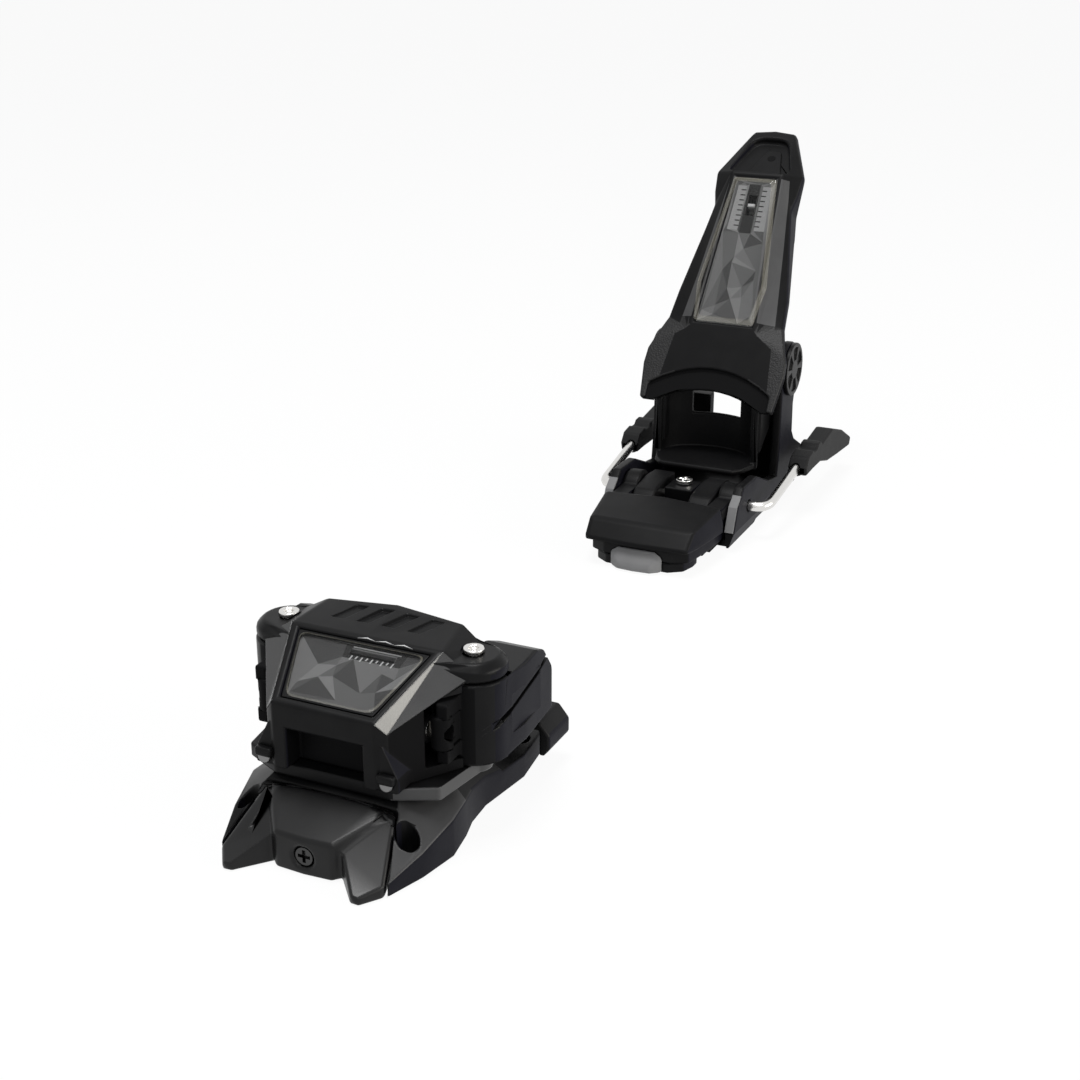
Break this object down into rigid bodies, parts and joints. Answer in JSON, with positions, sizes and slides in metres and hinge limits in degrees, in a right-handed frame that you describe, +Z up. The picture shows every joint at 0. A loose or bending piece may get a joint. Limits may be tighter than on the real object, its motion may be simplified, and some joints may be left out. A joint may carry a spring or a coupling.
{
  "type": "alpine ski binding",
  "caption": "Ski binding of a toe piece with two sprung wings and a sliding boot rest, and a lever heel piece on a track with a brake.",
  "frame": {"origin": "on the ski's top face, on its centre line, midway between the two wing pivots", "axes": "+X across the ski, +Y from the toe piece back to the heel piece, +Z up from the ski"},
  "size_m": [0.0978, 0.4708, 0.1735],
  "materials": {
    "black_plastic": "satin moulded black, fine grain on the side panels",
    "black_rubber": "matt black",
    "grey_plastic": "matt mid grey",
    "grey_print": "printed plate in greys",
    "white_plastic": "white",
    "clear_plastic": "clear polished",
    "bright_steel": "bright plated",
    "spring_steel": "drawn wire"
  },
  "bodies": {
    "frame": {"toe_base": "black_plastic", "toe_nose_cover": "black_plastic", "toe_housing": "black_plastic", "toe_window": "clear_plastic", "toe_scale_plate": "grey_print", "toe_spring": "spring_steel", "wing_pin_left": "bright_steel", "wing_pin_right": "bright_steel", "foot_rivet_left": "bright_steel", "foot_rivet_right": "bright_steel", "heel_track": "black_plastic"},
    "wing_left": {"wing_left": "black_plastic"},
    "wing_right": {"wing_right": "black_plastic"},
    "toe_plunger_left": {"toe_plunger_left": "black_plastic"},
    "toe_plunger_right": {"toe_plunger_right": "black_plastic"},
    "toe_tension_screw": {"toe_tension_screw": "bright_steel"},
    "toe_indicator": {"toe_indicator": "white_plastic"},
    "afd_height_screw": {"afd_height_screw": "bright_steel"},
    "afd_wedge": {"afd_wedge": "grey_plastic"},
    "afd_carrier": {"afd_carrier": "black_plastic"},
    "afd_slider": {"afd_slider": "black_plastic"},
    "heel_carriage": {"heel_carriage": "black_plastic", "heel_cam": "bright_steel", "heel_axle": "bright_steel", "pivot_cap_left": "black_plastic", "pivot_cap_right": "black_plastic", "brake_base": "black_plastic", "brake_chin": "grey_plastic", "brake_axle": "bright_steel", "brake_spring": "spring_steel", "brake_screw": "bright_steel"},
    "length_screw": {"length_screw": "bright_steel"},
    "heel_housing": {"heel_housing": "black_plastic", "heel_window": "clear_plastic", "heel_scale_plate": "grey_print", "heel_cup": "black_plastic", "heel_spring": "spring_steel"},
    "heel_piston": {"heel_piston": "bright_steel"},
    "heel_tension_screw": {"heel_tension_screw": "bright_steel"},
    "heel_indicator": {"heel_indicator": "white_plastic"},
    "brake": {"brake_pedal": "black_plastic", "brake_arm_left": "bright_steel", "brake_arm_right": "bright_steel", "brake_shoe_left": "black_rubber", "brake_shoe_right": "black_rubber"}
  },
  "joints": [
    {"name": "wing_right_hinge", "type": "hinge", "parent": "frame", "child": "wing_right", "pos_m": [0.0348, 0, 0.0269], "axis": [0, 0, -1], "range_deg": [0, 25], "stiffness_Nm_per_rad": 5, "springref_deg": -2.86, "deforming": ["toe_spring"]},
    {"name": "wing_left_hinge", "type": "hinge", "parent": "frame", "child": "wing_left", "pos_m": [-0.0348, 0, 0.0269], "axis": [0, 0, 1], "range_deg": [0, 25], "stiffness_Nm_per_rad": 5, "springref_deg": -2.86, "deforming": ["toe_spring"]},
    {"name": "toe_plunger_right_slide", "type": "slide", "parent": "frame", "child": "toe_plunger_right", "axis": [-1, 0, 0], "range_m": [0, 0.0078], "deforming": ["toe_spring"]},
    {"name": "toe_plunger_left_slide", "type": "slide", "parent": "frame", "child": "toe_plunger_left", "axis": [1, 0, 0], "range_m": [0, 0.0078], "deforming": ["toe_spring"]},
    {"name": "toe_tension_screw_turn", "type": "hinge", "parent": "toe_plunger_right", "child": "toe_tension_screw", "pos_m": [0, -0.01783, 0.042], "axis": [1, 0, 0], "range_deg": [-1080.1, 1080.1]},
    {"name": "toe_indicator_slide", "type": "slide", "parent": "toe_plunger_right", "child": "toe_indicator", "axis": [1, 0, 0], "range_m": [-0.003, 0.003], "deforming": ["toe_spring"]},
    {"name": "height_screw_turn", "type": "hinge", "parent": "frame", "child": "afd_height_screw", "pos_m": [0, 0, 0.0062], "axis": [0, -1, 0], "range_deg": [0, 2880.1]},
    {"name": "wedge_slide", "type": "slide", "parent": "frame", "child": "afd_wedge", "axis": [0, 1, 0], "range_m": [0, 0.01]},
    {"name": "boot_rest_lift", "type": "slide", "parent": "frame", "child": "afd_carrier", "axis": [0, 0, 1], "range_m": [0, 0.00301]},
    {"name": "boot_rest_slide", "type": "slide", "parent": "afd_carrier", "child": "afd_slider", "axis": [1, 0, 0], "range_m": [-0.0035, 0.0035]},
    {"name": "carriage_slide", "type": "slide", "parent": "frame", "child": "heel_carriage", "axis": [0, 1, 0], "range_m": [-0.01, 0.01]},
    {"name": "length_screw_turn", "type": "hinge", "parent": "heel_carriage", "child": "length_screw", "pos_m": [0, 0.375, 0.009], "axis": [0, 1, 0], "range_deg": [-900.1, 900.1]},
    {"name": "heel_lever_hinge", "type": "hinge", "parent": "heel_carriage", "child": "heel_housing", "pos_m": [0, 0.34259, 0.06911], "axis": [-1, 0, 0], "range_deg": [0, 50], "stiffness_Nm_per_rad": 6, "springref_deg": -5.73, "deforming": ["heel_spring"]},
    {"name": "heel_piston_slide", "type": "slide", "parent": "heel_housing", "child": "heel_piston", "axis": [0, 0.5496, 0.8354], "range_m": [0, 0.00401], "deforming": ["heel_spring"]},
    {"name": "heel_tension_screw_turn", "type": "hinge", "parent": "heel_housing", "child": "heel_tension_screw", "pos_m": [0, 0.39172, 0.1438], "axis": [0, 0.5496, 0.8354], "range_deg": [-1440.1, 1440.1]},
    {"name": "heel_indicator_slide", "type": "slide", "parent": "heel_housing", "child": "heel_indicator", "axis": [0, 0.5496, 0.8354], "range_m": [-0.004, 0.004], "deforming": ["heel_spring"]},
    {"name": "brake_hinge", "type": "hinge", "parent": "heel_carriage", "child": "brake", "pos_m": [0, 0.2862, 0.0167], "axis": [-1, 0, 0], "range_deg": [0, 60]}
  ],
  "couplings": [
    {"joint": "toe_plunger_right_slide", "follows": "wing_right_hinge", "m_per_rad": 0.017825},
    {"joint": "toe_plunger_left_slide", "follows": "wing_left_hinge", "m_per_rad": 0.017825},
    {"joint": "toe_tension_screw_turn", "follows": "toe_indicator_slide", "rad_per_m": -6283.2},
    {"joint": "height_screw_turn", "follows": "wedge_slide", "rad_per_m": 5026.5},
    {"joint": "boot_rest_lift", "follows": "wedge_slide", "ratio": 0.3},
    {"joint": "length_screw_turn", "follows": "carriage_slide", "rad_per_m": 1570.8},
    {"joint": "heel_piston_slide", "follows": "heel_lever_hinge", "m_per_rad": 0.0045837},
    {"joint": "heel_tension_screw_turn", "follows": "heel_indicator_slide", "rad_per_m": -6283.2}
  ]
}
